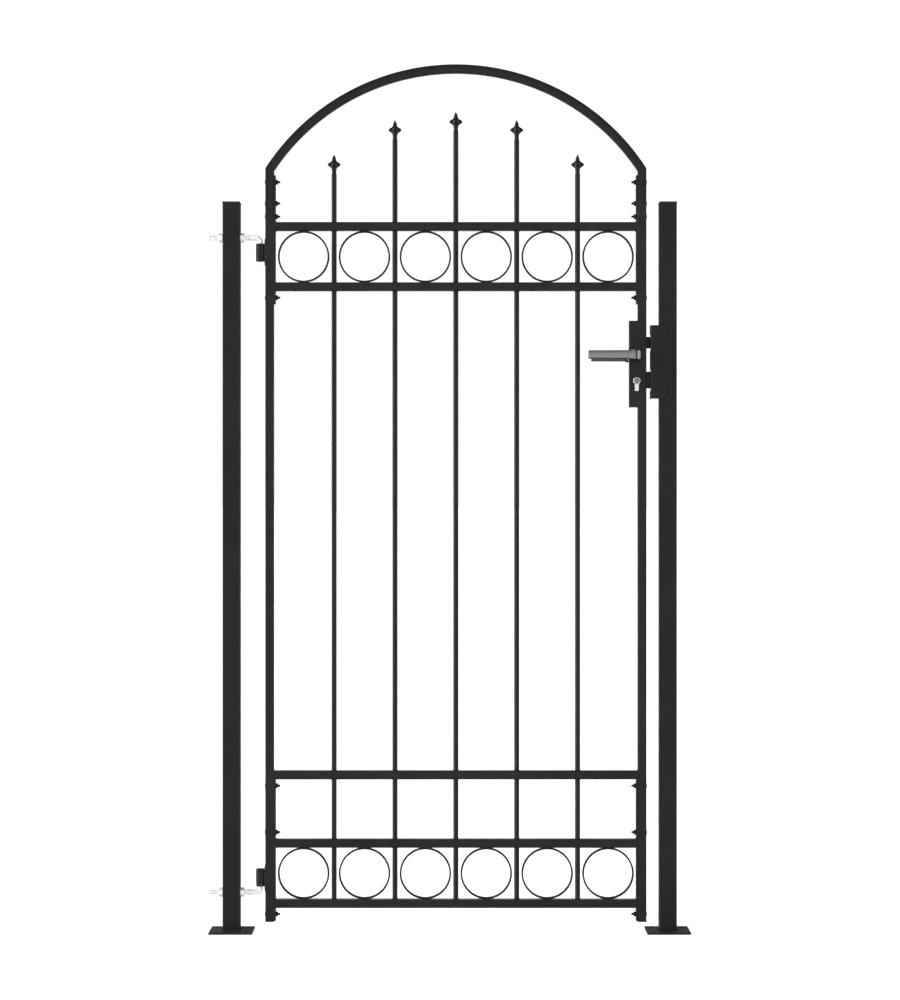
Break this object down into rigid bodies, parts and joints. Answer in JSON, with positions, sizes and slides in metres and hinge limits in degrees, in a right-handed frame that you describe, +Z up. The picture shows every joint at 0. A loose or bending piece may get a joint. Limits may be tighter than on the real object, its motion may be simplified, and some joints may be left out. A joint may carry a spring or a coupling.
{
  "type": "arched steel garden gate",
  "caption": "Arched steel garden gate leaf with uprights, ring rows and spear heads, hung between two square posts with base plates, with rod hinges, lever lock and keep.",
  "frame": {"origin": "centre of the underside of the hinge post's base plate", "axes": "+X from the hinge post to the latch post, +Y the side the leaf opens to, +Z up"},
  "size_m": [1.1125, 0.12, 2.0049],
  "materials": {
    "post_coat": "anthracite powder coat, fine satin texture",
    "leaf_coat": "black-anthracite powder coat, satin",
    "zinc_plate": "bright zinc plated",
    "satin_lever": "satin anodised aluminium",
    "bright_cylinder": "bright nickel plated",
    "black_plastic": "moulded black plastic"
  },
  "bodies": {
    "posts": {"hinge_post": "post_coat", "latch_post": "post_coat", "hinge_post_base": "post_coat", "latch_post_base": "post_coat", "post_caps": "black_plastic", "upper_hinge_rod": "zinc_plate", "lower_hinge_rod": "zinc_plate", "hinge_nuts": "zinc_plate", "lower_hinge_collar": "black_plastic", "keep_bracket": "post_coat", "keep_screws": "post_coat"},
    "leaf": {"arch": "leaf_coat", "left_stile": "leaf_coat", "right_stile_upper": "leaf_coat", "right_stile_lower": "leaf_coat", "stile_plugs": "black_plastic", "upper_left_flat_bar": "leaf_coat", "lower_left_flat_bar": "leaf_coat", "upper_right_flat_bar": "leaf_coat", "lower_right_flat_bar": "leaf_coat", "bottom_rail": "leaf_coat", "lower_ring_rail": "leaf_coat", "middle_rail": "leaf_coat", "upper_ring_rail": "leaf_coat", "top_rail": "leaf_coat", "bar_1": "leaf_coat", "bar_2": "leaf_coat", "bar_3": "leaf_coat", "bar_4": "leaf_coat", "bar_5": "leaf_coat", "spear_heads": "leaf_coat", "upper_rings": "leaf_coat", "lower_rings": "leaf_coat", "stile_bolts": "leaf_coat", "stile_nuts": "leaf_coat", "upper_hinge_barrel": "leaf_coat", "lower_hinge_barrel": "leaf_coat", "hinge_plates": "leaf_coat", "lock_case": "leaf_coat", "key_cylinder": "bright_cylinder"},
    "lever": {"front_lever": "satin_lever", "rear_lever": "satin_lever", "spindle": "zinc_plate"},
    "latch": {"latch_bolt": "leaf_coat"},
    "dead": {"dead_bolt": "leaf_coat"}
  },
  "joints": [
    {"name": "leaf_swing", "type": "hinge", "parent": "posts", "child": "leaf", "pos_m": [0.066, 0, 0], "axis": [0, 0, 1], "range_deg": [0, 105]},
    {"name": "lever_turn", "type": "hinge", "parent": "leaf", "child": "lever", "pos_m": [0.9355, 0, 1.33147], "axis": [0, -1, 0], "range_deg": [0, 40], "stiffness_Nm_per_rad": 0.8, "springref_deg": -34.38},
    {"name": "latch_slide", "type": "slide", "parent": "leaf", "child": "latch", "axis": [-1, 0, 0], "range_m": [0, 0.015]},
    {"name": "dead_bolt_slide", "type": "slide", "parent": "leaf", "child": "dead", "axis": [-1, 0, 0], "range_m": [0, 0.012]}
  ],
  "couplings": [
    {"joint": "latch_slide", "follows": "lever_turn", "m_per_rad": 0.021486}
  ]
}
